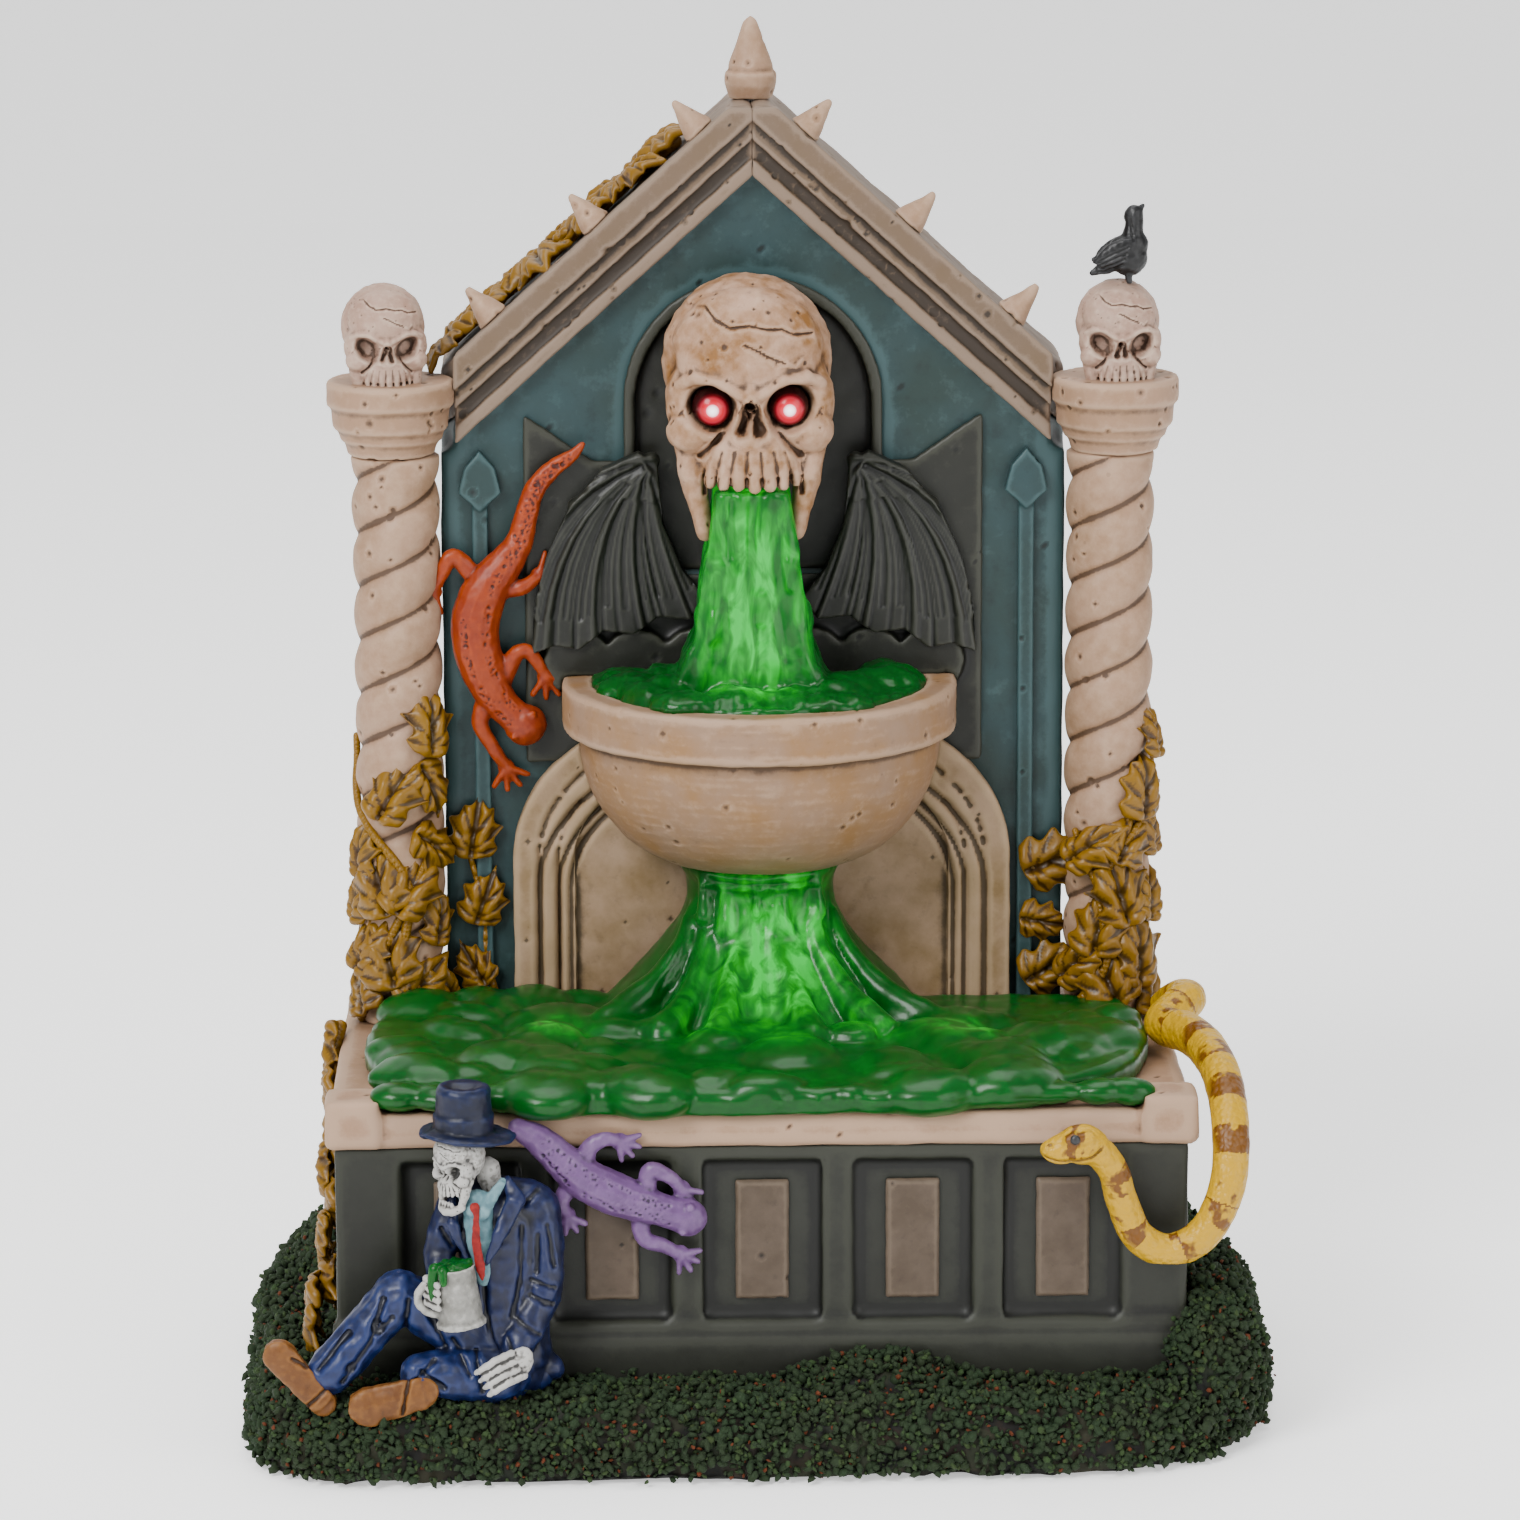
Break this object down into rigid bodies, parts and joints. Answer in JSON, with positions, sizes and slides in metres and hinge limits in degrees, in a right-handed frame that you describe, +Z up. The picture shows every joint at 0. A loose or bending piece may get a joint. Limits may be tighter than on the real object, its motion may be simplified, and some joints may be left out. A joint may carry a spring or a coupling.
{
  "type": "lit tabletop fountain decoration",
  "caption": "Miniature lit gothic wall fountain: a skull with glowing eyes pours green slime into a bowl and trough, with figures on a turf base.",
  "frame": {"origin": "centre of the footprint on the underside", "axes": "+X to the viewer's right, -Y the front, +Z up"},
  "size_m": [0.1285, 0.0841, 0.1694],
  "materials": {
    "turf": "green flock turf over painted resin",
    "block_paint": "dark grey-green painted cast resin, matt",
    "tablet_paint": "taupe painted resin, matt",
    "stone_paint": "beige painted cast resin with a brown wash, matt",
    "wall_paint": "teal painted cast resin, satin",
    "moulding_paint": "taupe painted cast resin with a dark wash",
    "roof_paint": "taupe painted cast resin",
    "bone_paint": "bone painted cast resin with a brown wash",
    "crow_paint": "black painted resin, satin",
    "plaque_paint": "dark grey painted cast resin, satin",
    "wing_paint": "dark grey painted cast resin, satin",
    "slime_resin": "translucent green cast resin, lit from inside",
    "orange_paint": "orange painted resin, satin",
    "purple_paint": "purple painted resin, satin",
    "snake_paint": "yellow painted resin with brown bands",
    "suit_paint": "navy painted resin, satin",
    "pewter_paint": "silver-grey painted resin",
    "ivy_paint": "ochre painted resin with a dark wash",
    "red_led": "clear red LED, lit",
    "green_led": "clear green LED, lit",
    "red_wire": "PVC wire",
    "black_wire": "PVC wire",
    "circuit_board": "green solder mask on glass epoxy",
    "chip_plastic": "moulded chip",
    "black_plastic": "moulded ABS",
    "screw_steel": "zinc plated",
    "spring_steel": "nickel plated",
    "cell_sleeve": "printed steel can, plain sleeve",
    "switch_metal": "tin plated"
  },
  "bodies": {
    "fountain": {"ground_base": "turf", "pedestal_block": "block_paint", "panel_tablets": "tablet_paint", "trough_ledge": "stone_paint", "facade_wall": "wall_paint", "rake_left": "moulding_paint", "rake_right": "moulding_paint", "roof_left": "roof_paint", "roof_right": "roof_paint", "finial": "stone_paint", "crockets": "stone_paint", "pillar_left": "stone_paint", "pillar_right": "stone_paint", "capital_left": "stone_paint", "capital_right": "stone_paint", "skull_left": "bone_paint", "skull_right": "bone_paint", "crow": "crow_paint", "niche_plaque": "plaque_paint", "wing_left": "wing_paint", "wing_right": "wing_paint", "spear_left": "wall_paint", "spear_right": "wall_paint", "lower_arch": "stone_paint", "bowl": "stone_paint", "main_skull": "bone_paint", "slime_spout": "slime_resin", "slime_fall": "slime_resin", "orange_salamander": "orange_paint", "purple_salamander": "purple_paint", "snake": "snake_paint", "seated_figure": "suit_paint", "beer_mug": "pewter_paint", "ivy_left": "ivy_paint", "ivy_right": "ivy_paint", "ivy_roof": "ivy_paint", "ivy_side": "ivy_paint", "eye_led_left": "red_led", "eye_led_right": "red_led", "spout_led": "green_led", "fall_led": "green_led", "pool_leds": "green_led", "eye_leads": "red_wire", "green_leads": "black_wire", "supply_leads": "red_wire", "led_board": "circuit_board", "board_parts": "chip_plastic", "bottom_plate": "black_plastic", "plate_screws": "screw_steel", "battery_box": "black_plastic", "battery_cells": "cell_sleeve", "contact_springs": "spring_steel", "contact_plates": "spring_steel", "switch_body": "switch_metal", "switch_screws": "screw_steel"},
    "battery_door": {"battery_door": "black_plastic"},
    "switch_slider": {"switch_slider": "black_plastic"}
  },
  "joints": [
    {"name": "door_hinge", "type": "hinge", "parent": "fountain", "child": "battery_door", "pos_m": [0, -0.0104, 0.0012], "axis": [-1, 0, 0], "range_deg": [0, 90]},
    {"name": "switch_slide", "type": "slide", "parent": "fountain", "child": "switch_slider", "axis": [-1, 0, 0], "range_m": [0, 0.003]}
  ]
}
